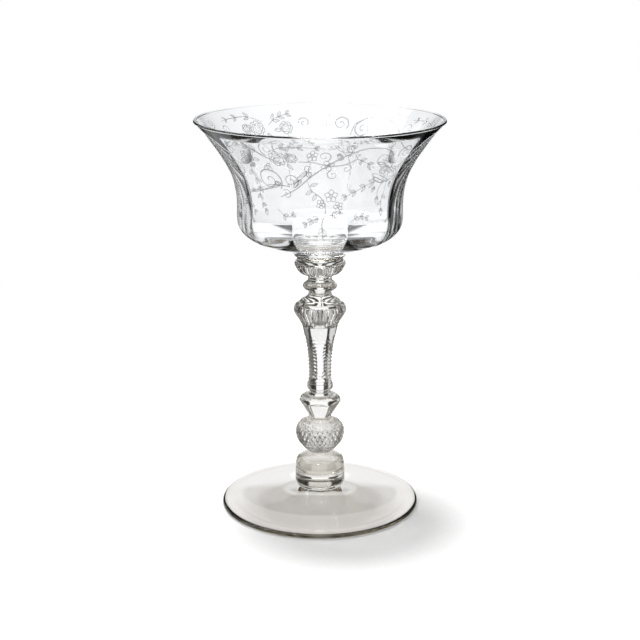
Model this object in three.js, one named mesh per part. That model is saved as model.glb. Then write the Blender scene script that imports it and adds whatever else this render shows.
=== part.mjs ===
// Champagne coupe: a thin blown bowl joined by a wafer of glass to a pressed stem,
// which stands on a post and a spread foot. All joints are hot-fused flat faces.
// Millimetres, +Z up, foot on z = 0, axis on x = y = 0, front at -Y.

import * as THREE from 'three';

// Overall sizes
const HEIGHT = 162;            // table to rim
const RIM_R = 50;              // outside of the rim
const FOOT_R = 41;             // outside of the foot

// Foot and post
const FOOT_H = 8.4;            // height of the foot at its middle
const FOOT_EDGE_H = 1.9;       // thickness of the foot's rim
const FOOT_RING = 3.5;         // width of the foot's rim, outside the hollow
const FOOT_HOLLOW = 4.0;       // how far the underside is hollowed
const POST_R = 10.25;          // lower block between foot and stem
const POST_H = 7.2;

// Bowl
const BOWL_H = 54.2;           // wafer to rim
const RIM_T = 1.2;             // thickness across the rim
const WALL_T = 1.3;            // wall above the belly
const FLOOR_T = 3.4;           // wall at the bottom
const PANELS = 10;             // flat panels pressed on the inside
const PANEL_DEPTH = 1.4;       // how far a panel stands in at its middle

// Wafer between bowl and stem
const WAFER_R = 11.3;          // also the flat base of the bowl it is joined to
const WAFER_T = 3.4;

// Stem, from the bottom up
const PLINTH_R = 10.1;
const DIAMOND_KNOP_R = 10.2;
const FLAT_KNOP_R = 8.5;
const COLUMN_TOP_R = 7.2;
const COLUMN_WAIST_R = 4.9;
const RIB_KNOP_R = 10.8;
const RING_R = 7.1;
const COLLAR_R = 10.4;
const NECK_R = 4.7;
const RIB_DEPTH = 0.45;
const NOTCH_DEPTH = 0.7;       // cut across each corner of the column
const NOTCHES = 12;
const POINT_DEPTH = 0.6;       // height of the diamond points
const POINT_ROWS = 9;
const SIDES = 6;               // flats on the column and on the flat knop

const SEGMENTS = 60;           // divides into panels, flats, ribs and points

const FOOT_TOP = FOOT_H;
const FOOT_REST_R = FOOT_R - FOOT_RING;   // inside of the flat ring the foot rests on
const POST_TOP = FOOT_TOP + POST_H;
const BOWL_BASE = HEIGHT - BOWL_H;
const STEM_TOP = BOWL_BASE - WAFER_T;

// ---- shaping around the axis: radius of a row at step i of the turn ----

const round = (r) => r;

// distance from the middle of the nearest of n flats, in radians
function offFlat(i, n) {
  const turn = i / SEGMENTS * n;
  return (turn - Math.round(turn)) * 2 * Math.PI / n;
}

const flatSided = (n) => (r, i) => r * Math.cos(Math.PI / n) / Math.cos(offFlat(i, n));

const ribbed = (depth) => (r, i) => (i % 2 ? r - depth : r);

const pointed = (depth, row) => (r, i) => ((i + row) % 2 ? r - depth : r);

// flats whose corners are cut back; the cut fades out over two steps each side
function notched(n, depth) {
  const flats = flatSided(n);
  const step = 2 * Math.PI / SEGMENTS;
  return (r, i) => {
    const fromCorner = Math.PI / n - Math.abs(offFlat(i, n));
    return flats(r, i) - depth * Math.max(0, 1 - fromCorner / (2 * step));
  };
}

// inside of the bowl: thicker at the middle of each panel
function panelled(n, depth) {
  const full = 1 - Math.cos(Math.PI / n);
  return (r, i) => r - depth * (1 - Math.cos(Math.PI / n) / Math.cos(offFlat(i, n))) / full;
}

// ---- solids ----

// Turns a list of rows { r, z, shape } round the axis. Where a quad is skewed by its
// shape, its fold follows the valley, so that points stay points.
function turn(name, rows, material) {
  const count = rows.length;
  const geometry = new THREE.LatheGeometry(rows.map((p) => new THREE.Vector2(p.r, p.z)), SEGMENTS);
  const position = geometry.getAttribute('position');
  const radius = (i, j) => {
    const row = rows[j];
    return row.r > 0 ? row.shape(row.r, i % SEGMENTS) : 0;
  };
  for (let i = 0; i <= SEGMENTS; i += 1) {
    const angle = (i % SEGMENTS) / SEGMENTS * 2 * Math.PI;
    for (let j = 0; j < count; j += 1) {
      const r = radius(i, j);
      position.setXYZ(i * count + j, r * Math.sin(angle), rows[j].z, r * Math.cos(angle));
    }
  }
  const index = [];
  for (let i = 0; i < SEGMENTS; i += 1) {
    for (let j = 0; j < count - 1; j += 1) {
      const a = i * count + j;
      const b = a + count;
      const valley = radius(i + 1, j) + radius(i, j + 1) - radius(i, j) - radius(i + 1, j + 1);
      if (valley > 1e-6) {
        index.push(a, b, b + 1, a, b + 1, a + 1);
      } else {
        index.push(a, b, a + 1, b, b + 1, a + 1);
      }
    }
  }
  geometry.setIndex(index);
  geometry.rotateX(Math.PI / 2);
  geometry.computeVertexNormals();
  const mesh = new THREE.Mesh(geometry, material);
  mesh.name = name;
  return mesh;
}

const row = (r, z, shape = round) => ({ r, z, shape });

function glass(color) {
  return new THREE.MeshStandardMaterial({ color, roughness: 0.04, metalness: 0 });
}

// Spread foot: dished on top, steepest at the post, with a thin rounded edge, hollow underneath
function footRows() {
  const spread = FOOT_R - POST_R;
  const fall = FOOT_TOP - FOOT_EDGE_H;
  return [
    row(0, FOOT_HOLLOW),
    row(FOOT_REST_R * 0.14, FOOT_HOLLOW * 0.98),
    row(FOOT_REST_R * 0.35, FOOT_HOLLOW * 0.6),
    row(FOOT_REST_R * 0.61, FOOT_HOLLOW * 0.25),
    row(FOOT_REST_R * 0.88, FOOT_HOLLOW * 0.04),
    row(FOOT_REST_R, 0),
    row(FOOT_R - 1.2, 0),
    row(FOOT_R - 0.4, FOOT_EDGE_H * 0.15),
    row(FOOT_R, FOOT_EDGE_H * 0.4),
    row(FOOT_R, FOOT_EDGE_H * 0.65),
    row(FOOT_R - 0.8, FOOT_EDGE_H),
    row(FOOT_R - spread * 0.16, FOOT_EDGE_H + fall * 0.05),
    row(FOOT_R - spread * 0.48, FOOT_EDGE_H + fall * 0.27),
    row(FOOT_R - spread * 0.81, FOOT_EDGE_H + fall * 0.65),
    row(POST_R, FOOT_TOP - 0.2),
    row(POST_R - 0.6, FOOT_TOP),
    row(0, FOOT_TOP),
  ];
}

// Plain block with a rounded lower edge
function postRows() {
  return [
    row(0, FOOT_TOP),
    row(POST_R - 0.7, FOOT_TOP),
    row(POST_R - 0.2, FOOT_TOP + 0.9),
    row(POST_R, FOOT_TOP + 1.9),
    row(POST_R, POST_TOP - 0.5),
    row(POST_R - 0.35, POST_TOP),
    row(0, POST_TOP),
  ];
}

// Pressed stem. Heights are stated for a stem 89 mm tall and stretch with it.
function stemRows() {
  const at = (h) => POST_TOP + h * (STEM_TOP - POST_TOP) / 89;
  const rows = [
    row(0, at(0)),
    row(PLINTH_R - 0.2, at(0)),
    row(PLINTH_R, at(1.4)),
    row(PLINTH_R - 0.2, at(3)),
    row(PLINTH_R - 1.4, at(4.6)),
    row(NECK_R + 0.6, at(5.6)),
    row(NECK_R + 0.5, at(6.7)),
    row(NECK_R + 0.2, at(7.3)),
  ];

  // diamond-point knop: each row of points is half a pitch round from the last
  const bulge = DIAMOND_KNOP_R - NECK_R;
  const knop = new THREE.SplineCurve([
    [0.05, 7.3], [0.50, 9.6], [0.86, 12.4], [1, 15.4], [0.92, 18], [0.60, 20.2], [0.05, 21.7],
  ].map(([r, h]) => new THREE.Vector2(NECK_R + r * bulge, at(h))));
  for (let k = 1; k <= POINT_ROWS; k += 1) {
    const u = k / (POINT_ROWS + 1);
    const p = knop.getPointAt(u);
    rows.push(row(p.x, p.y, pointed(POINT_DEPTH * Math.sin(Math.PI * u), k)));
  }

  // flat-sided knop under a round shoulder, then a plain ring
  rows.push(
    row(NECK_R - 0.2, at(22)),
    row(NECK_R, at(22.9), flatSided(SIDES)),
    row(FLAT_KNOP_R - 2.1, at(25.5), flatSided(SIDES)),
    row(FLAT_KNOP_R, at(29), flatSided(SIDES)),
    row(FLAT_KNOP_R - 0.1, at(30)),
    row(FLAT_KNOP_R - 0.6, at(31)),
    row(FLAT_KNOP_R - 1.6, at(31.7)),
    row(NECK_R - 0.2, at(32.3)),
    row(NECK_R - 0.4, at(33.8)),
    row(NECK_R + 0.5, at(34.9)),
    row(NECK_R + 0.7, at(35.9)),
    row(NECK_R + 0.5, at(36.9)),
    row(NECK_R, at(37.9)),
  );

  // column: narrow waist, flaring upwards, every corner notched
  const low = 38.7;
  const pitch = 18.6 / NOTCHES;
  for (let k = 0; k <= 2 * NOTCHES; k += 1) {
    const h = low + k * pitch / 2;
    const flare = Math.pow((h - low) / 22.5, 2.4);
    const r = COLUMN_WAIST_R + (COLUMN_TOP_R - COLUMN_WAIST_R) * flare;
    rows.push(row(r, at(h), notched(SIDES, k % 2 ? NOTCH_DEPTH : 0)));
  }
  rows.push(
    row(COLUMN_TOP_R - 0.2, at(60.2), flatSided(SIDES)),
    row(COLUMN_TOP_R + 0.4, at(62.4)),
  );

  // ribbed knop under a plain skirt, neck and sharp ring
  rows.push(
    row(RIB_KNOP_R - 2.2, at(64.6), ribbed(RIB_DEPTH)),
    row(RIB_KNOP_R - 0.9, at(66.5), ribbed(RIB_DEPTH)),
    row(RIB_KNOP_R, at(68.6), ribbed(RIB_DEPTH)),
    row(RIB_KNOP_R - 0.2, at(69.8), ribbed(RIB_DEPTH)),
    row(RIB_KNOP_R - 0.9, at(71)),
    row(RING_R + 1.0, at(71.9)),
    row(RING_R + 0.8, at(72.9)),
    row(NECK_R + 0.8, at(74.1)),
    row(NECK_R, at(75.3)),
    row(NECK_R, at(76.3)),
    row(RING_R - 0.5, at(77.6)),
    row(RING_R, at(78.6)),
    row(RING_R - 0.5, at(79.7)),
    row(NECK_R + 0.3, at(80.9)),
    row(NECK_R + 0.2, at(82)),
  );

  // ribbed cup that carries the bowl
  rows.push(
    row(NECK_R + 0.7, at(83.1)),
    row(COLLAR_R - 2.6, at(84)),
    row(COLLAR_R - 1.3, at(85.2), ribbed(RIB_DEPTH)),
    row(COLLAR_R - 0.4, at(86.9), ribbed(RIB_DEPTH)),
    row(COLLAR_R, at(88.2)),
    row(COLLAR_R - 0.5, at(89)),
    row(0, at(89)),
  );
  return rows;
}

// Wafer: waisted towards the stem, spread where it takes the bowl
function waferRows() {
  return [
    row(0, STEM_TOP),
    row(WAFER_R - 1.9, STEM_TOP),
    row(WAFER_R - 2.0, STEM_TOP + WAFER_T * 0.25),
    row(WAFER_R - 1.6, STEM_TOP + WAFER_T * 0.55),
    row(WAFER_R - 0.6, STEM_TOP + WAFER_T * 0.8),
    row(WAFER_R, BOWL_BASE),
    row(0, BOWL_BASE),
  ];
}

// Bowl: one smooth outline, and a wall set off from it that thickens downwards
function bowlRows() {
  const lip = RIM_T / 2;
  const outline = new THREE.SplineCurve([
    [WAFER_R / RIM_R, 0], [0.295, 0.041], [0.440, 0.078], [0.532, 0.109], [0.592, 0.143],
    [0.634, 0.183], [0.659, 0.226], [0.668, 0.285], [0.665, 0.360], [0.671, 0.460],
    [0.698, 0.580], [0.752, 0.691], [0.829, 0.802], [0.920, 0.917], [1, 1],
  ].map(([r, z]) => new THREE.Vector2(r * RIM_R, BOWL_BASE + z * (BOWL_H - lip))));

  const STEPS = 17;
  const outer = [row(0, BOWL_BASE)];
  const inner = [];
  for (let k = 0; k <= STEPS; k += 1) {
    const u = k / STEPS;
    const p = outline.getPointAt(u);
    outer.push(row(p.x, p.y));
    if (k > 0 && k < STEPS) {
      const along = outline.getTangentAt(u);
      const wall = WALL_T + (FLOOR_T - WALL_T) * Math.pow(1 - u, 3);
      const fade = Math.min(1, p.x / RIM_R * 1.6) * Math.max(0, 1 - Math.pow(u, 3));
      const shape = panelled(PANELS, PANEL_DEPTH * fade);
      inner.unshift(row(p.x - wall * along.y, p.y + wall * along.x, shape));
    }
  }

  const lipRows = [];
  for (let k = 1; k <= 4; k += 1) {
    const a = k / 4 * Math.PI;
    lipRows.push(row(RIM_R - lip + lip * Math.cos(a), HEIGHT - lip + lip * Math.sin(a)));
  }

  const floor = inner[inner.length - 1];
  return [
    ...outer,
    ...lipRows,
    ...inner,
    row(floor.r * 0.5, floor.z - FLOOR_T * 0.15),
    row(0, floor.z - FLOOR_T * 0.2),
  ];
}

const object = new THREE.Group();
object.name = 'champagne_coupe';
object.add(turn('foot', footRows(), glass(0xdfe3e2)));
object.add(turn('foot_post', postRows(), glass(0xd6dbd9)));
object.add(turn('stem', stemRows(), glass(0xdce0de)));
object.add(turn('bowl_wafer', waferRows(), glass(0xd6dbd9)));
object.add(turn('bowl', bowlRows(), glass(0xe4e8e8)));

export default object;
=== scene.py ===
"""Stemmed champagne coupe in clear glass: blown etched bowl, pressed stem, spread foot."""

import math

import bpy
import numpy as np
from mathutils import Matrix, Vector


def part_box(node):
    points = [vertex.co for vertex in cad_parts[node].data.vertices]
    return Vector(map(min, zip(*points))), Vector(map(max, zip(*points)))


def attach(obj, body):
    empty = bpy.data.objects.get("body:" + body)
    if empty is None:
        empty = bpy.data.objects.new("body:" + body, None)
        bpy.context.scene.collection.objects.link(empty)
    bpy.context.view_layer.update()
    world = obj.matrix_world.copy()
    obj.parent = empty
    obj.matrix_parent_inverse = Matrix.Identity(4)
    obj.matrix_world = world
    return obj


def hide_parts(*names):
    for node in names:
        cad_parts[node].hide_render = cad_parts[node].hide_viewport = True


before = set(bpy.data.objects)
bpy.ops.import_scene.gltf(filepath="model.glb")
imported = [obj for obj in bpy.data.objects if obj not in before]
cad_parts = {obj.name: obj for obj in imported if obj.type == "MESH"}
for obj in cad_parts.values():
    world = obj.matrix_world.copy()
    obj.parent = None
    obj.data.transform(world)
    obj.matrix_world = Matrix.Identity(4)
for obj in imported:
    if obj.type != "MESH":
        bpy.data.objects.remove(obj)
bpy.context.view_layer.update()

MM = 0.001
TAU = 2 * math.pi


def add_object(name, data):
    thing = bpy.data.objects.new(name, data)
    bpy.context.scene.collection.objects.link(thing)
    return thing


# ---- camera: the photograph's angle, in metres, degrees and millimetres of lens ----

CAMERA_PLACE = (0, -0.5779, 0.24267)
CAMERA_PITCH = 15.784
CAMERA_LENS = 82.45
CAMERA_SENSOR = 36


def make_camera():
    data = bpy.data.cameras.new("camera")
    data.sensor_width = CAMERA_SENSOR
    data.lens = CAMERA_LENS
    data.clip_start = 0.01
    camera = add_object("camera", data)
    camera.location = CAMERA_PLACE
    camera.rotation_euler = (math.radians(90 - CAMERA_PITCH), 0, 0)
    bpy.context.scene.camera = camera


make_camera()

# ---- sizes in millimetres; heights, and the radii of foot and rim, come from the frame ----


def span(node):
    low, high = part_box(node)
    return low.z / MM, high.z / MM


FOOT_Z = span("foot")
POST_Z = span("foot_post")
STEM_Z = span("stem")
WAFER_Z = span("bowl_wafer")
BOWL_Z = span("bowl")

FOOT_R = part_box("foot")[1].x / MM
RIM_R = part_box("bowl")[1].x / MM
FOOT_EDGE_H = 1.9
FOOT_RING = 3.5                   # width of the rim that the foot stands on
FOOT_REST_R = FOOT_R - FOOT_RING
FOOT_HOLLOW = 4.0                 # how far the underside is hollowed
POST_R = 10.25
POST_FOOT_R = POST_R - 0.7        # weld face between foot and post
POST_TOP_R = POST_R - 0.35        # weld face between post and stem
WAFER_R = 11.3                    # weld face between wafer and bowl
WAFER_FOOT_R = WAFER_R - 1.9      # weld face between stem and wafer
RIM_T = 1.2
WALL_T = 1.3                      # wall above the belly
FLOOR_T = 3.4                     # wall at the bottom
PANELS = 10
PANEL_DEPTH = 1.4                 # how far a panel stands in at its middle
RIBS = 30
RIB_DEPTH = 0.45
SIDES = 6                         # flats on the column and on the flat-sided knop
STEM_TURN = math.radians(-4)      # how far the flats are turned from the front
COLUMN_WAIST_R = 4.9
COLUMN_TOP_R = 7.2
COLUMN_FLARE = 2.4                # power by which the column widens
NOTCHES = 12
NOTCH_DEPTH = 0.7
NOTCH_REACH = 2.4                 # how far a notch runs onto the flat
POINT_DEPTH = 0.6                 # height of the diamond points
POINT_ROWS = 10
SEAM_HEIGHT = 0.07                # ridge left by the mould
SEAM_HALF = math.radians(1.3)     # half its width
SEAM_AT = math.radians(6)         # how far it is turned from the front

# heights on the stem, stated for a stem 89 mm tall, and stretched with it
STATED_STEM = 89
COLUMN_FROM = 38.7
COLUMN_TO = 62.4
COLUMN_FLARED = 22.5              # above COLUMN_FROM, where the radius reaches COLUMN_TOP_R
NOTCHED = 18.6                    # length of a row of notches

SEGMENTS = 240
PHI = np.arange(SEGMENTS) / SEGMENTS * TAU

# ---- curves ----


def length_along(points):
    """Distance from the first point to each point, along the line through them."""
    return np.concatenate([[0], np.cumsum(np.hypot(*np.diff(points, axis=0).T))])


def smooth(points, step):
    """Catmull-Rom curve through (r, z) points, resampled at even steps."""
    p = np.array(points, float)
    if len(p) == 2:
        dense = p
    else:
        q = np.vstack([p[0], p, p[-1]])
        dense = []
        for a, b, c, d in zip(q, q[1:], q[2:], q[3:]):
            for t in np.linspace(0, 1, 24, endpoint=False):
                dense.append(0.5 * (2 * b + (c - a) * t + (2 * a - 5 * b + 4 * c - d) * t**2
                                    + (3 * b - a - 3 * c + d) * t**3))
        dense = np.array(dense + [p[-1]])
    along = length_along(dense)
    count = max(1, round(along[-1] / step))
    at = np.linspace(0, along[-1], count + 1)
    return np.column_stack([np.interp(at, along, dense[:, k]) for k in (0, 1)])


# ---- shapes round the axis: radius at every step of the turn ----


def plain(r, z):
    return np.full(SEGMENTS, r)


def off_flat(n, turned=0.0):
    """Angle from the middle of the nearest of n flats."""
    turn = (PHI - turned) / TAU * n
    return (turn - np.round(turn)) * TAU / n


def ribbed(low, high):
    """Rounded ribs that fade in and out quickly over a height band."""
    def shape(r, z):
        t = np.clip((z - low) / (high - low), 0, 1)
        fade = min(1, 3.2 * math.sin(math.pi * t) ** 0.8)
        return r - RIB_DEPTH * fade * (1 - np.abs(np.cos(PHI * RIBS / 2)))
    return shape


def flat_cut(flat_at):
    """A round body cut by flats whose distance from the axis is flat_at(z)."""
    def shape(r, z):
        return np.minimum(r, flat_at(z) / np.cos(off_flat(SIDES, STEM_TURN)))
    return shape


def pointed(curve):
    """Diamond points: pyramids on a lattice turned by half a pitch each row."""
    along = length_along(curve)

    def shape(r, z):
        u = np.interp(z, curve[:, 1], along / along[-1])
        turn = PHI / TAU * 2 * RIBS
        p = (turn + POINT_ROWS * u) / 2
        q = (turn - POINT_ROWS * u) / 2
        off = np.maximum(np.abs(p - np.round(p)), np.abs(q - np.round(q)))
        return r - POINT_DEPTH * math.sin(math.pi * u) * 2 * off
    return shape


def seamed(r, z):
    """Round, with a hair-fine line on each side where the two halves of the mould met."""
    lines = np.zeros(SEGMENTS)
    for middle in (SEAM_AT, SEAM_AT + math.pi):
        off = (PHI - middle + math.pi) % TAU - math.pi
        lines += np.exp(-((off / SEAM_HALF) ** 2))
    return r + SEAM_HEIGHT * lines


# ---- turned solids ----


class Rows:
    """Rows of a turned solid, from the axis out and back to the axis.

    A row is (r, z, radius at every step), with None for the last where it is a point on
    the axis. The set holds the numbers of the rows that a weld face starts from."""

    def __init__(self):
        self.rings = []
        self.weld = set()

    def axis(self, z):
        self.rings.append((0.0, z, None))
        return self

    def face(self, r, z):
        """A weld face from the last row, on the axis, out to this one."""
        self.weld.add(len(self.rings) - 1)
        self.rings.append((r, z, plain(r, z)))
        return self

    def run(self, points, shape=plain, step=0.42):
        for r, z in smooth(points, step):
            self.add(r, z, shape)
        return self

    def add(self, r, z, shape=plain):
        """One row, which takes the place of a last row at the same spot."""
        if self.rings:
            last = self.rings[-1]
            if abs(last[0] - r) < 1e-6 and abs(last[1] - z) < 1e-6:
                self.rings.pop()
        self.rings.append((r, z, shape(r, z)))
        return self

    def end_face(self, r, z):
        """A weld face from here in to the axis."""
        self.add(r, z)
        self.weld.add(len(self.rings) - 1)
        return self.axis(z)


CREASE = math.radians(34)


def turn(name, rows, surface):
    """The solid of the rows, with one material on its surface and none to see on its welds."""
    rings = rows.rings
    verts = []
    first = []
    for r, z, around in rings:
        first.append(len(verts))
        if around is None:
            verts.append((0, 0, z * MM))
        else:
            for a, radius in zip(PHI, around):
                verts.append((radius * math.sin(a) * MM, -radius * math.cos(a) * MM, z * MM))
    faces = []
    slots = []
    for j in range(len(rings) - 1):
        a, b = first[j], first[j + 1]
        for i in range(SEGMENTS):
            k = (i + 1) % SEGMENTS
            if rings[j][2] is None:
                faces.append((a, b + k, b + i))
            elif rings[j + 1][2] is None:
                faces.append((a + i, a + k, b))
            else:
                faces.append((a + i, a + k, b + k, b + i))
            slots.append(1 if j in rows.weld else 0)
    mesh = bpy.data.meshes.new(name)
    mesh.from_pydata(verts, [], faces)
    mesh.materials.append(surface)
    mesh.materials.append(WELD)
    mesh.polygons.foreach_set("material_index", slots)
    mesh.polygons.foreach_set("use_smooth", [True] * len(faces))
    mesh.set_sharp_from_angle(angle=CREASE)
    mesh.update()
    return add_object(name, mesh)


# ---- materials ----

GLASS_IOR = 1.52
SOAK_COLOR = (0.50, 0.46, 0.34, 1)     # what thick glass lets through
SMEAR_SCALE = 90
SMEARED = (0.45, 0.75)                 # noise from which haze starts, and is full
HAZE = 0.02
FROST_GRAIN = 2500
FROST_ALPHA = 0.64


def new_material(name):
    material = bpy.data.materials.new(name)
    material.use_nodes = True
    nodes = material.node_tree.nodes
    return material, nodes, material.node_tree.links, nodes["Principled BSDF"]


def bump(nodes, links, texture, strength, distance, shader):
    """Raises the surface by a texture, over a distance in metres."""
    node = nodes.new("ShaderNodeBump")
    node.inputs["Strength"].default_value = strength
    node.inputs["Distance"].default_value = distance
    links.new(texture.outputs["Fac"], node.inputs["Height"])
    links.new(node.outputs["Normal"], shader.inputs["Normal"])


def noise(nodes, links, scale, detail):
    place = nodes.new("ShaderNodeTexCoord")
    texture = nodes.new("ShaderNodeTexNoise")
    texture.inputs["Scale"].default_value = scale
    texture.inputs["Detail"].default_value = detail
    links.new(place.outputs["Object"], texture.inputs["Vector"])
    return texture


def glass(name, color, ripple, ripple_scale, soak=0):
    """Clear glass: a faint ripple from the mould or the blowpipe, and light handling haze.

    A thick piece also soaks up a little light on the way through."""
    material, nodes, links, shader = new_material(name)
    shader.inputs["Base Color"].default_value = (*color, 1)
    shader.inputs["Transmission Weight"].default_value = 1
    shader.inputs["IOR"].default_value = GLASS_IOR
    bump(nodes, links, noise(nodes, links, ripple_scale, 2), ripple, MM, shader)

    smear = noise(nodes, links, SMEAR_SCALE, 4)
    rough = nodes.new("ShaderNodeMapRange")
    rough.inputs["From Min"].default_value = SMEARED[0]
    rough.inputs["From Max"].default_value = SMEARED[1]
    rough.inputs["To Min"].default_value = 0.0
    rough.inputs["To Max"].default_value = HAZE
    links.new(smear.outputs["Fac"], rough.inputs["Value"])
    links.new(rough.outputs["Result"], shader.inputs["Roughness"])
    if soak:
        volume = nodes.new("ShaderNodeVolumeAbsorption")
        volume.inputs["Color"].default_value = SOAK_COLOR
        volume.inputs["Density"].default_value = soak
        links.new(volume.outputs["Volume"], nodes["Material Output"].inputs["Volume"])
    return material


def weld_material():
    """Faces where two pieces are fused: there is no surface left there to see."""
    material, _, _, shader = new_material("fused_face")
    shader.inputs["Alpha"].default_value = 0
    return material


def etched_material():
    """Acid-etched lines: a fine white frost that scatters light."""
    material, nodes, links, shader = new_material("etched_frost")
    grain = noise(nodes, links, FROST_GRAIN, 3)
    tone = nodes.new("ShaderNodeValToRGB")
    tone.color_ramp.elements[0].color = (0.50, 0.51, 0.53, 1)
    tone.color_ramp.elements[1].color = (0.80, 0.81, 0.83, 1)
    links.new(grain.outputs["Fac"], tone.inputs["Fac"])
    links.new(tone.outputs["Color"], shader.inputs["Base Color"])
    bump(nodes, links, grain, 0.4, 0.1 * MM, shader)
    shader.inputs["Roughness"].default_value = 0.75
    shader.inputs["Alpha"].default_value = FROST_ALPHA
    return material


WELD = weld_material()
BOWL_GLASS = glass("bowl_glass", (0.985, 0.99, 0.99), 0.02, 55)
STEM_GLASS = glass("stem_glass", (0.965, 0.96, 0.95), 0.04, 160, soak=12)
FOOT_GLASS = glass("foot_glass", (0.985, 0.975, 0.96), 0.02, 60, soak=30)
FROST = etched_material()

# ---- foot and post ----


def make_foot():
    """Hollow underneath, a flat ring to stand on, a rounded edge, and a top dished to the post.

    The hollow follows the slope of the top, so that light isn't trapped between them."""
    top = FOOT_Z[1]
    rows = Rows().axis(FOOT_HOLLOW)
    hollow = [(0.14, 0.98), (0.35, 0.6), (0.61, 0.25), (0.88, 0.04), (1, 0)]
    rows.run([(0.3, FOOT_HOLLOW)] + [(FOOT_REST_R * r, FOOT_HOLLOW * h) for r, h in hollow],
             step=0.8)
    rows.run([(FOOT_REST_R, 0), (FOOT_R - 1.2, 0)], step=1.5)

    def on_top(share, rise):
        """A point a share of the way from the edge in to the post, and of the way up."""
        return (FOOT_R - share * (FOOT_R - POST_R), FOOT_EDGE_H + rise * (top - FOOT_EDGE_H))
    rows.run([(FOOT_R - 1.2, 0), (FOOT_R - 0.4, FOOT_EDGE_H * 0.15), (FOOT_R, FOOT_EDGE_H * 0.4),
              (FOOT_R, FOOT_EDGE_H * 0.65), (FOOT_R - 0.8, FOOT_EDGE_H), on_top(0.16, 0.05)],
             step=0.2)
    rows.run([on_top(0.16, 0.05), on_top(0.48, 0.27), on_top(0.81, 0.65), (POST_R, top - 0.2),
              (POST_R - 0.6, top)], step=0.7)
    rows.end_face(POST_FOOT_R, top)
    return turn("foot_glass_disc", rows, FOOT_GLASS)


def make_post():
    low, high = POST_Z
    rows = Rows().axis(low).face(POST_FOOT_R, low)
    rows.run([(POST_FOOT_R, low), (POST_R - 0.2, low + 0.9), (POST_R, low + 1.9),
              (POST_R, high - 1.2)], seamed)
    rows.run([(POST_R, high - 1.2), (POST_R - 0.05, high - 0.5), (POST_TOP_R, high)], seamed,
             step=0.15)
    rows.end_face(POST_TOP_R, high)
    return turn("foot_post_block", rows, STEM_GLASS)


# ---- stem ----


def column_r(h):
    """Radius of the column at its corners, at a stated height."""
    up = np.clip((h - COLUMN_FROM) / COLUMN_FLARED, 0, None)
    return COLUMN_WAIST_R + (COLUMN_TOP_R - COLUMN_WAIST_R) * up**COLUMN_FLARE


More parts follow.
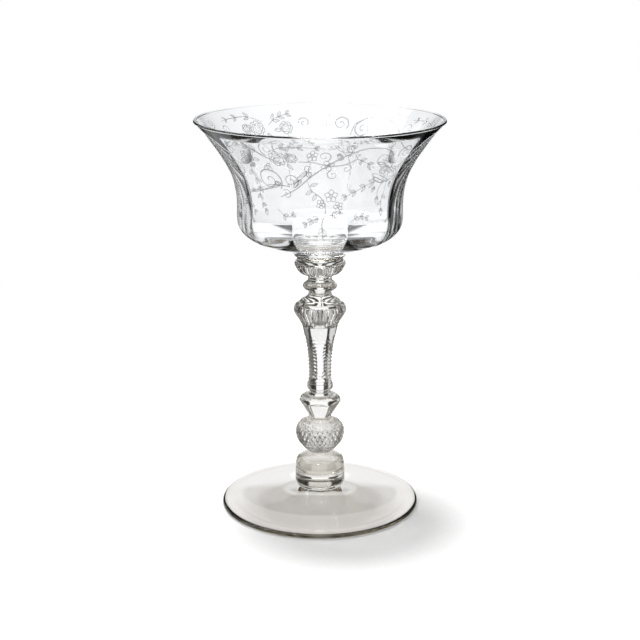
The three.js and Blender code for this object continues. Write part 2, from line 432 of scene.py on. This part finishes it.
def make_stem():
    low, high = STEM_Z
    stretch = (high - low) / STATED_STEM

    def height(h):
        return low + h * stretch

    def at(points):
        return [(r, height(h)) for r, h in points]

    def stated(z):
        return (z - low) / stretch

    # upper block and small ring
    rows = Rows().axis(low).face(POST_TOP_R, low)
    rows.run(at([(POST_TOP_R, 0), (10.08, 1.1), (10.02, 2.5), (9.6, 3.8), (8.7, 4.6)]), seamed)
    rows.run(at([(8.7, 4.6), (7.2, 5.0), (5.5, 5.5)]), seamed)
    rows.run(at([(5.5, 5.5), (5.35, 6.1), (5.2, 6.7), (4.95, 7.3)]))

    # diamond-point knop
    knop = smooth(at([(4.97, 7.3), (7.45, 9.6), (9.43, 12.4), (10.2, 15.4), (9.76, 18), (8.0, 20.2),
                      (4.97, 21.7)]), 0.24)
    points = pointed(knop)
    for r, z in knop:
        rows.add(r, z, points)
    rows.run(at([(4.97, 21.7), (4.5, 22.0), (4.6, 22.6)]), step=0.2)

    # flat-sided knop: a round body with six flats cut into it
    def knop_flat(z):
        return np.interp(stated(z), [22.6, 25.5, 29, 30.4], [3.95, 5.5, 7.36, 8.6])
    rows.run(at([(4.6, 22.6), (6.5, 25.5), (8.35, 28.6), (8.5, 29.3), (8.4, 30.1), (7.95, 31),
                 (6.9, 31.7)]), flat_cut(knop_flat), step=0.3)
    rows.run(at([(6.9, 31.7), (5.6, 32.0), (4.5, 32.3)]))

    # ring
    rows.run(at([(4.5, 32.3), (4.3, 33.1), (4.4, 33.9), (5.2, 34.8), (5.42, 35.9), (5.2, 37.0),
                 (4.72, 37.9), (4.85, COLUMN_FROM)]), step=0.2)

    # column: six slightly rounded flats, waisted, with a row of notches down every corner
    pitch = NOTCHED / NOTCHES

    def column(r, z):
        h = stated(z)
        corner = column_r(h)
        into = np.interp(h, [38.0, 39.2, 61.6, 63.3], [0, 1, 1, 0])
        flats = corner * math.cos(math.pi / SIDES) / np.cos(off_flat(SIDES, STEM_TURN))
        barrel = 0.3 * (corner - flats)
        beat = (h - COLUMN_FROM) / pitch
        cutting = 1 - abs(2 * (beat - math.floor(beat)) - 1) if 0 < beat < NOTCHES else 0
        cutting *= np.interp(beat, [NOTCHES * 0.5, NOTCHES], [1, 0.35])
        from_corner = (math.pi / SIDES - np.abs(off_flat(SIDES, STEM_TURN))) * corner
        wedge = NOTCH_DEPTH * cutting * np.maximum(0, 1 - from_corner / NOTCH_REACH)
        return r + into * (flats + barrel - corner) - wedge
    for h in np.arange(COLUMN_FROM, COLUMN_TO, pitch / 6):
        rows.add(column_r(h), height(h), column)

    # ribbed knop under a plain skirt
    rows.run(at([(column_r(COLUMN_TO), COLUMN_TO), (8.5, 64.4), (9.9, 66.5), (10.75, 68.4),
                 (10.62, 69.8), (9.9, 71.0)]), ribbed(height(62.9), height(71.2)), step=0.3)
    rows.run(at([(9.9, 71.0), (9.0, 71.6), (8.1, 71.9)]), seamed)
    rows.run(at([(8.1, 71.9), (8.05, 72.5), (7.7, 72.95)]), seamed, step=0.15)

    # neck with a sharp ring
    rows.run(at([(7.7, 72.95), (5.6, 74.0), (4.8, 75.2), (4.7, 76.3)]), seamed)
    rows.run(at([(4.7, 76.3), (6.5, 77.6), (7.1, 78.5)]), step=0.2)
    rows.run(at([(7.1, 78.5), (6.6, 79.6), (5.0, 80.9)]), step=0.2)

    # ribbed cup that carries the bowl
    rows.run(at([(5.0, 80.9), (4.9, 82.0), (5.4, 83.1), (7.8, 84.0)]))
    rows.run(at([(7.8, 84.0), (9.1, 85.2), (10.0, 86.9), (10.35, 88.0), (10.3, 88.5), (9.9, 89)]),
             ribbed(height(84.2), height(88.3)), step=0.3)
    rows.end_face(WAFER_FOOT_R, high)
    return turn("stem_pressed", rows, STEM_GLASS)


def make_wafer():
    low, high = WAFER_Z
    t = high - low
    rows = Rows().axis(low).face(WAFER_FOOT_R, low)
    rows.run([(WAFER_FOOT_R, low), (WAFER_R - 2.0, low + t * 0.25),
              (WAFER_R - 1.6, low + t * 0.55), (WAFER_R - 0.6, low + t * 0.8), (WAFER_R, high)],
             step=0.2)
    rows.end_face(WAFER_R, high)
    return turn("bowl_wafer_disc", rows, STEM_GLASS)


# ---- bowl ----

# outside of the bowl, as shares of the rim's radius and of the bowl's height
OUTLINE = [
    (WAFER_R / RIM_R, 0), (0.295, 0.041), (0.440, 0.078), (0.532, 0.109), (0.592, 0.143),
    (0.634, 0.183), (0.659, 0.226), (0.668, 0.285), (0.665, 0.360), (0.671, 0.460),
    (0.698, 0.580), (0.752, 0.691), (0.829, 0.802), (0.920, 0.917), (1, 1),
]
LIP = RIM_T / 2
LIP_Z = BOWL_Z[1] - LIP
BOWL_CURVE = smooth([(r * RIM_R, BOWL_Z[0] + z * (LIP_Z - BOWL_Z[0])) for r, z in OUTLINE], 0.7)
INSIDE = (0.055, 0.945)     # where along the outside the inside starts and ends


def make_bowl():
    """The outside and a rolled lip, then back down the inside at the wall's thickness."""
    count = len(BOWL_CURVE) - 1
    slope = np.gradient(BOWL_CURVE, axis=0)
    slope /= np.hypot(*slope.T)[:, None]
    corner = math.cos(math.pi / PANELS)
    flats = (1 - corner / np.cos(off_flat(PANELS))) / (1 - corner)

    rows = Rows().axis(BOWL_Z[0]).face(WAFER_R, BOWL_Z[0])
    for r, z in BOWL_CURVE:
        rows.add(r, z)
    for a in np.linspace(0, math.pi, 11)[1:]:
        rows.add(RIM_R - LIP + LIP * math.cos(a), LIP_Z + LIP * math.sin(a))
    for k in range(count, -1, -1):
        u = k / count
        if not INSIDE[0] < u < INSIDE[1]:
            continue
        wall = WALL_T + (FLOOR_T - WALL_T) * (1 - u) ** 3
        r = BOWL_CURVE[k, 0] - wall * slope[k, 1]
        z = BOWL_CURVE[k, 1] + wall * slope[k, 0]
        fade = min(1, BOWL_CURVE[k, 0] / RIM_R * 1.6) * max(0, 1 - u**3)
        rows.add(r, z, lambda r, z, depth=PANEL_DEPTH * fade: r - depth * flats)
    r, z = rows.rings[-1][:2]
    dip = FLOOR_T * 0.2
    for near, drop in ((0.8, 0.3), (0.5, 0.62), (0.2, 0.8)):
        rows.add(r * near, z - dip * drop)
    rows.axis(z - dip)
    return turn("bowl_blown", rows, BOWL_GLASS)


# ---- etched decoration: scrolls, roses, leaves and buds of no particular pattern ----

REPEATS = 3
FLAT_R = 36.0      # the pattern is drawn flat, on a wall of this radius
PATTERN_LOW = 117
PATTERN_HIGH = BOWL_Z[1] - 2.2
LIFT = 0.04        # how far the frost lies off the wall
LINE = 0.34        # width of a line


class Sketch:
    """Lines of frost drawn on the bowl, as (across, up) in millimetres."""

    def __init__(self):
        self.strips = []

    def stroke(self, curve, width=LINE, taper=True):
        t = np.linspace(0, 1, len(curve))
        half = np.full(len(curve), width / 2)
        if taper:
            half = half * (0.4 + 0.6 * np.sin(np.pi * np.clip(t, 0.02, 0.98)) ** 0.5)
        self.strips.append((np.array(curve), half))

    def line(self, points, width=LINE):
        self.stroke(smooth(points, 0.45), width)

    def petal(self, x, y, angle, length, width, bend=0.0, rib=True):
        """The outline of a leaf or petal from its foot at (x, y), with a short midrib."""
        a = math.radians(angle)
        ahead = np.array([math.cos(a), math.sin(a)])
        side = np.array([-ahead[1], ahead[0]])
        t = np.linspace(0, 1, 9)[:, None]
        spine = np.array([x, y]) + t * length * ahead + bend * length * 0.6 * t**2 * side
        bulge = width / 2 * np.sin(np.pi * t**0.85) * side
        for edge in (bulge, -bulge):
            self.stroke(spine + edge, LINE * 0.85, False)
        if rib:
            self.stroke(spine[:7], LINE * 0.7)

    def spray(self, points, leaves=4, length=3.2, width=1.3):
        """A stem with leaves in pairs."""
        self.line(points)
        curve = smooth(points, 0.3)
        for k in range(1, leaves + 1):
            i = min(len(curve) - 2, int(len(curve) * k / (leaves + 0.6)))
            ahead = curve[i + 1] - curve[i]
            angle = math.degrees(math.atan2(ahead[1], ahead[0]))
            size = 1 - 0.35 * k / leaves
            for turn_by, bend in ((46, -0.3), (-46, 0.3)):
                self.petal(*curve[i], angle + turn_by, length * size, width * size, bend)

    def scroll(self, x, y, radius, start, turns, way=1, width=0.42):
        """A spiral that winds in to a small knob at its middle."""
        t = np.linspace(0, 1, 30)
        a = math.radians(start) + way * turns * TAU * t
        r = radius * (1 - t) ** 0.85 + 0.3
        curve = np.column_stack([x + r * np.cos(a), y + r * np.sin(a)])
        self.strips.append((curve, width / 2 * (0.55 + 0.45 * np.cos(np.pi * (t - 0.15)) ** 2)))

    def rose(self, x, y, radius, tilt=0.0):
        """A rose seen from above: a heart, and two rings of scalloped petals."""
        self.scroll(x, y, radius * 0.4, tilt, 1.5, width=0.3)
        for ring, petals in ((0.66, 5), (1.0, 7)):
            for k in range(petals):
                middle = math.radians(tilt + 360 / petals * (k + 0.5 * ring))
                a = np.linspace(-1, 1, 9)
                r = radius * (ring * 0.82 + 0.2 * np.cos(a * math.pi / 2) ** 0.7)
                turn_by = middle + a * math.pi / petals
                edge = np.column_stack([x + r * np.cos(turn_by), y + r * np.sin(turn_by)])
                self.stroke(edge, LINE, False)

    def blossom(self, x, y, radius, petals=5, tilt=90.0):
        for k in range(petals):
            a = math.radians(tilt + 360 / petals * k)
            foot = radius * 0.18
            self.petal(x + foot * math.cos(a), y + foot * math.sin(a), math.degrees(a),
                       radius * 0.85, radius * 0.75, 0, False)
        self.scroll(x, y, radius * 0.16, 0, 1, width=0.3)

    def bud(self, x, y, angle, length=2.6):
        a = math.radians(angle)
        self.petal(x, y, angle, length, length * 0.55, 0)
        below = (x - 0.3 * math.cos(a), y - 0.3 * math.sin(a))
        for spread in (-30, 30):
            self.petal(*below, angle + spread, length * 0.7, 0.6, 0, False)


def draw_pattern():
    s = Sketch()
    # ribbon stems that cross at a small bow
    s.line([(-16, 136.5), (-9, 140.2), (-3, 145.6), (2.5, 150), (8, 154), (14, 156.6),
            (20.5, 156.2)], 0.6)
    s.line([(-7, 151.6), (-2, 151.4), (2.5, 150), (7.5, 150.2), (12, 152.4)], 0.5)
    s.blossom(2.5, 150, 2.3, petals=4, tilt=20)
    s.scroll(1.4, 153.9, 1.9, -70, 1.2)
    s.scroll(4.4, 146.2, 1.9, 100, 1.2)
    s.scroll(9.0, 148.6, 1.5, 110, 1.1, -1)
    s.scroll(-3.8, 148.8, 1.5, -60, 1.1, -1)
    s.scroll(9.4, 157.2, 1.5, -70, 1.2, -1)
    # large scrolls at the left of the bow
    s.scroll(-19.5, 143.2, 5.0, -40, 1.6, 1, 0.6)
    s.scroll(-18.2, 147.8, 1.5, 200, 1.2, -1)
    s.scroll(-10.8, 143.4, 2.7, -70, 1.5, 1, 0.5)
    s.scroll(-13.2, 137.8, 1.7, 130, 1.2, -1)
    # upper left: roses and leaves under the rim
    s.rose(-13.6, 152.6, 2.9, 20)
    s.rose(-9.0, 153.0, 1.9, 70)
    s.spray([(-16.4, 155.0), (-11, 157.4), (-4, 157.6), (1.5, 157.2)], 3, 2.6, 1.0)
    s.spray([(-18.5, 153.5), (-22.5, 156.2), (-27.5, 157.6)], 3, 3.0)
    s.rose(-25.2, 152.2, 2.4, 0)
    s.petal(-20.5, 151.6, 190, 3.2, 1.4, -0.3)
    s.petal(-17.2, 150.4, 235, 3.0, 1.3, 0.2)
    s.petal(-10.6, 150.6, 290, 2.8, 1.2, 0.3)
    s.spray([(-25.4, 149.6), (-26.4, 145.2), (-25.0, 140.6), (-26.2, 136.0), (-24.4, 131.6)],
            5, 3.2)
    s.bud(-24.0, 131.0, 290)
    # right: a long scroll that runs down into a rose with hanging buds
    s.line([(20.5, 156.2), (24.8, 153.4), (26.0, 149.2)], 0.5)
    s.scroll(21.6, 151.8, 3.0, 60, 1.5, -1, 0.5)
    s.scroll(30.2, 153.6, 2.6, 220, 1.5, -1, 0.5)
    s.rose(28.2, 144.6, 3.1, 40)
    s.rose(24.0, 147.0, 1.9, 10)
    s.petal(31.0, 147.0, 60, 3.4, 1.4, 0.3)
    s.petal(31.2, 143.6, 350, 3.2, 1.4, -0.3)
    s.spray([(25.4, 143.2), (19.6, 141.4), (13.4, 138.4), (8.4, 136.2)], 4, 3.2)
    s.line([(26.4, 142.2), (24.6, 138.6), (24.9, 135.2)])
    s.line([(28.0, 141.4), (28.4, 138.0), (27.4, 134.0), (27.8, 130.4)])
    s.bud(24.9, 135.6, 262)
    s.bud(27.8, 130.6, 275, 3.0)
    s.bud(30.2, 141.0, 295)
    s.bud(22.4, 139.8, 250, 2.2)
    s.petal(27.6, 136.0, 320, 2.6, 1.1, 0.2)
    s.petal(27.6, 133.6, 215, 2.6, 1.1, -0.2)
    # middle: an upright spray of small flowers
    s.line([(-4.6, 143.2), (-3.2, 139.6), (0.6, 136.4), (2.2, 131.6), (0.8, 126.4),
            (1.2, 120.4)], 0.45)
    s.blossom(4.4, 137.4, 2.7)
    s.blossom(0.4, 134.2, 2.0, tilt=60)
    s.blossom(7.4, 133.2, 2.0, tilt=110)
    s.petal(-3.0, 139.4, 200, 3.0, 1.3, 0.3)
    s.petal(-1.6, 138.2, 250, 3.0, 1.3, -0.2)
    s.petal(-3.6, 141.4, 30, 3.0, 1.2, -0.2)
    s.spray([(1.9, 130.2), (5.4, 129.8), (9.4, 131.2)], 2, 2.8)
    s.spray([(1.4, 128.4), (-2.4, 128.2), (-6.6, 126.0)], 3, 2.8)
    s.petal(1.0, 125.0, 230, 3.0, 1.2, 0.2)
    s.petal(1.0, 124.4, 310, 3.0, 1.2, -0.2)
    # between the repeats: a scroll, a trailing branch and a small flower
    s.scroll(-33.2, 146.4, 3.4, 160, 1.5, -1, 0.5)
    s.scroll(-32.0, 153.8, 1.8, 0, 1.3)
    s.blossom(-35.0, 139.4, 2.1)
    s.spray([(-34.6, 137.0), (-33.4, 132.4), (-29.6, 128.6)], 3, 3.0)
    s.spray([(34.4, 156.8), (35.4, 153.2), (34.6, 149.6)], 2, 2.8)
    s.spray([(-18.0, 131.6), (-14.0, 128.8), (-9.8, 130.4)], 2, 2.6)
    s.spray([(12.6, 126.4), (16.6, 128.8), (21.2, 127.6)], 3, 2.6)
    return s.strips


def make_etching():
    """The strips of the pattern laid on the outside of the bowl, once for each repeat."""
    verts = []
    faces = []
    strips = draw_pattern()
    for n in range(REPEATS):
        start = n * TAU / REPEATS
        for curve, half in strips:
            ahead = np.gradient(curve, axis=0)
            ahead /= np.maximum(np.hypot(*ahead.T), 1e-9)[:, None]
            side = np.column_stack([-ahead[:, 1], ahead[:, 0]])
            base = len(verts)
            for point, across, h in zip(curve, side, half):
                for edge in (point - across * h, point + across * h):
                    z = float(np.clip(edge[1], PATTERN_LOW, PATTERN_HIGH))
                    r = np.interp(z, BOWL_CURVE[:, 1], BOWL_CURVE[:, 0]) + LIFT
                    a = start + edge[0] / FLAT_R
                    verts.append((r * math.sin(a) * MM, -r * math.cos(a) * MM, z * MM))
            for k in range(len(curve) - 1):
                i = base + 2 * k
                faces.append((i, i + 1, i + 3, i + 2))
    mesh = bpy.data.meshes.new("etched_flowers")
    mesh.from_pydata(verts, [], faces)
    mesh.materials.append(FROST)
    mesh.update()
    return add_object("etched_flowers", mesh)


def place(piece, slot, *nodes):
    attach(piece, "root")
    if nodes:
        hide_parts(*nodes)


place(make_foot(), "foot_glass", "foot")
place(make_post(), "stem_glass", "foot_post")
place(make_stem(), "stem_glass", "stem")
place(make_wafer(), "stem_glass", "bowl_wafer")
place(make_bowl(), "bowl_glass", "bowl")
place(make_etching(), "etched_glass")

# ---- studio: pale floor, soft light, bright windows all round with dark gaps between ----

WHITE = (1, 1, 1)
LIGHT_STEPS = 24            # times that light may pass through glass
WORLD_STRENGTH = 1.08
SOFTBOX_POWER = 3
STRIP_POWER = 1.6
AIM = (0, 0, 0.08)
SUN = 3.0
SUN_ANGLE = math.radians(14)
SUN_TURN = (math.radians(-8), math.radians(-4), 0)

# Azimuth of each window in degrees (0 is straight behind, + is right), half its width, its
# level high up, below the horizon and on the floor, and the colour of the gap after it.
HIGH, LOW, FLOOR = range(3)
WINDOW_EDGE = 2.5           # degrees in which a window turns into the gap beside it
WINDOWS = [
    (-180, 9, (0.7, 0.7, 0.7), (0.16, 0.145, 0.12)),
    (-135, 5, (0.6, 0.5, 0.6), (0.22, 0.20, 0.17)),
    (-90, 10, (0.9, 0.10, 0.9), (0.22, 0.20, 0.17)),
    (-45, 10, (0.8, 0.10, 0.8), (0.040, 0.036, 0.031)),
    (0, 11, (1.0, 1.0, 1.3), (0.012, 0.011, 0.011)),
    (45, 4, (0.2, 0.08, 0.12), (0.05, 0.044, 0.036)),
    (90, 5, (0.3, 0.10, 0.2), (0.20, 0.18, 0.15)),
    (135, 13, (0.9, 0.9, 0.9), (0.20, 0.18, 0.15)),
]

# The next three run from straight down (0) to straight up (1): how much of the windows is
# left, how much of their high level is kept, and the colour above and below them.
SHADE = [(0.25, (0, 0, 0)), (0.29, WHITE), (0.69, WHITE), (0.77, (0, 0, 0))]
LOW_BAND = [(0.36, WHITE), (0.375, (0, 0, 0)), (0.44, (0, 0, 0)), (0.46, WHITE)]
SKY = [(0.0, (0.04, 0.036, 0.03)), (0.72, (0.05, 0.045, 0.04)),
       (0.86, (0.10, 0.095, 0.09)), (0.95, (0.8, 0.8, 0.8))]

# The floor as the glass sees it: it glows with painted light and shade, though it is no lamp.
# Places and fades are in metres from the middle.
FLOOR_RADIUS = 0.42
FLOOR_DROP = 0.00005        # below the foot, so that the two don't flicker
FLOOR_GLOW = 0.06
FLOOR_TONE = [(0, (0.76, 0.76, 0.76)), (1, (0.80, 0.80, 0.80))]
NEAR_SPAN = 0.1             # what the stops of NEAR_PAINTED_LIGHT_AND_SHADE are shares of
# painted shade and light under and round the foot: grey under its middle, lighter towards its edge,
# then dark outside it
NEAR_PAINTED_LIGHT_AND_SHADE = [(0.0, (0.78, 0.76, 0.745)), (0.31, (0.78, 0.76, 0.745)),
              (0.335, (0.86, 0.84, 0.825)), (0.40, (0.88, 0.86, 0.845)),
              (0.43, (0.95, 0.945, 0.94)), (0.47, (0.5, 0.5, 0.5)),
              (0.52, (0.20, 0.19, 0.165)), (1.0, (0.08, 0.075, 0.065))]
OVAL_HALF = (0.034, 0.025)  # painted shade: a grey oval a little behind the middle of the foot
OVAL_BACK = 0.005
OVAL_PAINTED_SHADE = [(0.93, (0.84, 0.84, 0.84)), (0.98, WHITE)]
# painted light: the floor turns near white behind the foot
BEHIND = (0.008, 0.0135)
BEHIND_PAINTED_LIGHT = (0.93, 0.925, 0.92, 1)
PAST = (0.045, 0.052)
# painted light and shade behind the foot, from straight behind (0) to straight in front (1)
SIDE_PAINTED_LIGHT_AND_SHADE = [(0.10, WHITE), (0.15, (0.5, 0.48, 0.45)),
              (0.3, (0.26, 0.245, 0.22)), (1.0, (0.2, 0.19, 0.17))]
BEYOND = (0.075, 0.095)
OUTER = (0.23, 0.29)
ASIDE = (0.12, 0.17)        # in the same shares as SIDE_PAINTED_LIGHT_AND_SHADE
# painted shade: grey that lifts the dark gaps at the far left
OUTER_PAINTED_SHADE = (0.48, 0.47, 0.46, 1)


class Nodes:
    """Small helper that adds and links the nodes of a stage material or the world."""

    def __init__(self, tree):
        self.nodes = tree.nodes
        self.links = tree.links

    def add(self, kind):
        return self.nodes.new("ShaderNode" + kind)

    def math(self, operation, *values):
        node = self.add("Math")
        node.operation = operation
        for socket, value in zip(node.inputs, values):
            if isinstance(value, (int, float)):
                socket.default_value = value
            else:
                self.links.new(value, socket)
        return node.outputs[0]

    def ramp(self, value, stops):
        node = self.add("ValToRGB")
        elements = node.color_ramp.elements
        while len(elements) < len(stops):
            elements.new(0.5)
        for element, (position, color) in zip(elements, stops):
            element.position = position
            element.color = (*color, 1)
        self.links.new(value, node.inputs["Fac"])
        return node.outputs["Color"]

    def fade(self, value, ends):
        """0 up to the first of the ends, and 1 from the second on."""
        start, full = ends
        scale = 1 / (full - start)
        share = self.math("MULTIPLY_ADD", value, scale, -start * scale)
        share.node.use_clamp = True
        return share

    def mix(self, factor, a, b, blend="MIX"):
        node = self.add("Mix")
        node.data_type = "RGBA"
        node.blend_type = blend
        sockets = (node.inputs["Factor"], node.inputs[6], node.inputs[7])
        for socket, value in zip(sockets, (factor, a, b)):
            if isinstance(value, (int, float, tuple)):
                socket.default_value = value
            else:
                self.links.new(value, socket)
        return node.outputs[2]

    def windows(self, direction, band):
        """Colour of the windows in a direction, and the direction's own height."""
        split = self.add("SeparateXYZ")
        self.links.new(direction, split.inputs[0])
        azimuth = self.math("ARCTAN2", split.outputs[0], split.outputs[1])
        stops = []
        for middle, half, levels, gap in WINDOWS:
            level = levels[band]
            shine = (level * 0.97, level * 0.98, level)
            if stops:
                stops.append((middle - half - WINDOW_EDGE, stops[-1][1]))
                stops.append((middle - half, shine))
            stops.append((middle + half, shine))
            stops.append((middle + half + WINDOW_EDGE, gap))
        # the first window, straight in front, is cut in two by the ends of the ramp
        stops.append((180 - WINDOWS[0][1] - WINDOW_EDGE, stops[-1][1]))
        stops.append((180 - WINDOWS[0][1], stops[0][1]))
        pattern = self.ramp(self.math("MULTIPLY_ADD", azimuth, 1 / TAU, 0.5),
                            [(angle / 360 + 0.5, color) for angle, color in stops])
        return pattern, split.outputs[2]

    def camera_or(self, seen_by_glass, seen_by_camera):
        path = self.add("LightPath")
        choose = self.add("MixShader")
        self.links.new(path.outputs["Is Camera Ray"], choose.inputs[0])
        self.links.new(seen_by_glass, choose.inputs[1])
        self.links.new(seen_by_camera, choose.inputs[2])
        return choose.outputs[0]


def floor_mesh(sides=96):
    verts = [(0, 0, 0)]
    rings = (0.1, 0.2, 0.3, FLOOR_RADIUS)
    for ring in rings:
        for k in range(sides):
            a = k / sides * TAU
            verts.append((ring * math.cos(a), ring * math.sin(a), 0))
    faces = [(0, 1 + k, 1 + (k + 1) % sides) for k in range(sides)]
    for ring in range(len(rings) - 1):
        base = 1 + ring * sides
        for k in range(sides):
            n = (k + 1) % sides
            faces.append((base + k, base + sides + k, base + sides + n, base + n))
    mesh = bpy.data.meshes.new("floor")
    mesh.from_pydata(verts, [], faces)
    return mesh


def floor_in_glass(tree, place):
    """Colour of the floor as the glass sees it: painted light and shade, given off as emission."""
    length = tree.add("VectorMath")
    length.operation = "LENGTH"
    tree.links.new(place, length.inputs[0])
    reach = length.outputs["Value"]
    split = tree.add("SeparateXYZ")
    tree.links.new(place, split.inputs[0])
    x, y = split.outputs[:2]
    azimuth = tree.math("ABSOLUTE", tree.math("ARCTAN2", x, y))
    round_share = tree.math("MULTIPLY", azimuth, 1 / math.pi)

    # under the foot, painted shade: a grey oval in front; painted light: near white behind
    near = tree.ramp(tree.math("MULTIPLY", reach, 1 / NEAR_SPAN), NEAR_PAINTED_LIGHT_AND_SHADE)
    oval_x = tree.math("MULTIPLY", x, 1 / OVAL_HALF[0])
    oval_y = tree.math("MULTIPLY_ADD", y, 1 / OVAL_HALF[1], -OVAL_BACK / OVAL_HALF[1])
    squares = tree.math("ADD", tree.math("POWER", oval_x, 2), tree.math("POWER", oval_y, 2))
    oval = tree.ramp(tree.math("SQRT", squares), OVAL_PAINTED_SHADE)
    near = tree.mix(1, near, oval, "MULTIPLY")
    behind = tree.fade(y, BEHIND)
    near = tree.mix(behind, near, BEHIND_PAINTED_LIGHT)

    # behind the foot, painted light and shade: bright in the middle, darker to the sides
    side = tree.ramp(round_share, SIDE_PAINTED_LIGHT_AND_SHADE)
    past = tree.fade(reach, PAST)
    near = tree.mix(tree.math("MULTIPLY", behind, past), near, side)

    # further out painted windows of light with painted shade between them, and painted grey shade
    # between them at the far left
    far, _ = tree.windows(place, FLOOR)
    left = tree.math("LESS_THAN", x, 0)
    aside = tree.math("MULTIPLY", tree.fade(round_share, ASIDE), left)
    outer = tree.math("MULTIPLY", tree.fade(reach, OUTER), aside)
    far = tree.mix(outer, far, OUTER_PAINTED_SHADE, "LIGHTEN")
    return tree.mix(tree.fade(reach, BEYOND), near, far)


def make_floor():
    """A pale floor to the camera and the lights; the glass sees its own version of it, which glows
    with painted light and shade.
    """
    mesh = floor_mesh()
    floor = add_object("floor", mesh)
    floor.location.z = -FLOOR_DROP
    material, nodes, links, shader = new_material("pale_floor")
    tree = Nodes(material.node_tree)
    grain = tree.add("TexNoise")
    grain.inputs["Scale"].default_value = 400
    links.new(tree.ramp(grain.outputs["Fac"], FLOOR_TONE), shader.inputs["Base Color"])
    shader.inputs["Roughness"].default_value = 0.8
    shader.inputs["Specular IOR Level"].default_value = 0.1
    shader.inputs["Emission Color"].default_value = (*WHITE, 1)
    shader.inputs["Emission Strength"].default_value = FLOOR_GLOW

    seen = tree.add("Emission")
    place = tree.add("TexCoord").outputs["Object"]
    links.new(floor_in_glass(tree, place), seen.inputs["Color"])
    surface = tree.camera_or(seen.outputs[0], shader.outputs[0])
    links.new(surface, nodes["Material Output"].inputs["Surface"])
    mesh.materials.append(material)


def make_world():
    """White behind the glass; what the glass bends and mirrors is a ring of bright windows."""
    world = bpy.data.worlds.new("studio")
    bpy.context.scene.world = world
    world.use_nodes = True
    tree = Nodes(world.node_tree)
    tree.nodes.clear()
    direction = tree.add("TexCoord").outputs["Generated"]
    above, height = tree.windows(direction, HIGH)
    below, _ = tree.windows(direction, LOW)
    up = tree.math("MULTIPLY_ADD", height, 0.5, 0.5)
    windows = tree.mix(tree.ramp(up, LOW_BAND), below, above)
    studio = tree.add("Background")
    lit = tree.mix(tree.ramp(up, SHADE), tree.ramp(up, SKY), windows)
    tree.links.new(lit, studio.inputs["Color"])
    studio.inputs["Strength"].default_value = WORLD_STRENGTH
    backdrop = tree.add("Background")
    backdrop.inputs["Color"].default_value = (*WHITE, 1)
    out = tree.add("OutputWorld")
    tree.links.new(tree.camera_or(studio.outputs[0], backdrop.outputs[0]), out.inputs[0])


def make_light(name, location, width, depth, power):
    """A rectangular light aimed at the stem."""
    data = bpy.data.lights.new(name, "AREA")
    data.shape = "RECTANGLE"
    data.size = width
    data.size_y = depth
    data.energy = power
    light = add_object(name, data)
    light.location = location
    x, y, z = np.array(AIM) - np.array(location)
    light.rotation_euler = (math.atan2(math.hypot(x, y), -z), 0, math.atan2(y, x) - math.pi / 2)


def make_sun():
    data = bpy.data.lights.new("high_light", "SUN")
    data.energy = SUN
    data.angle = SUN_ANGLE
    sun = add_object("high_light", data)
    sun.rotation_euler = SUN_TURN


make_floor()
make_world()
make_light("softbox_left", (-0.7, 0.2, 0.9), 0.5, 0.5, SOFTBOX_POWER)
make_light("strip_front", (0, -0.34, 0.92), 0.26, 0.09, STRIP_POWER)
make_sun()

scene = bpy.context.scene
scene.view_settings.view_transform = "Standard"
scene.cycles.max_bounces = LIGHT_STEPS
scene.cycles.transmission_bounces = LIGHT_STEPS
scene.cycles.glossy_bounces = 12
scene.cycles.transparent_max_bounces = 32
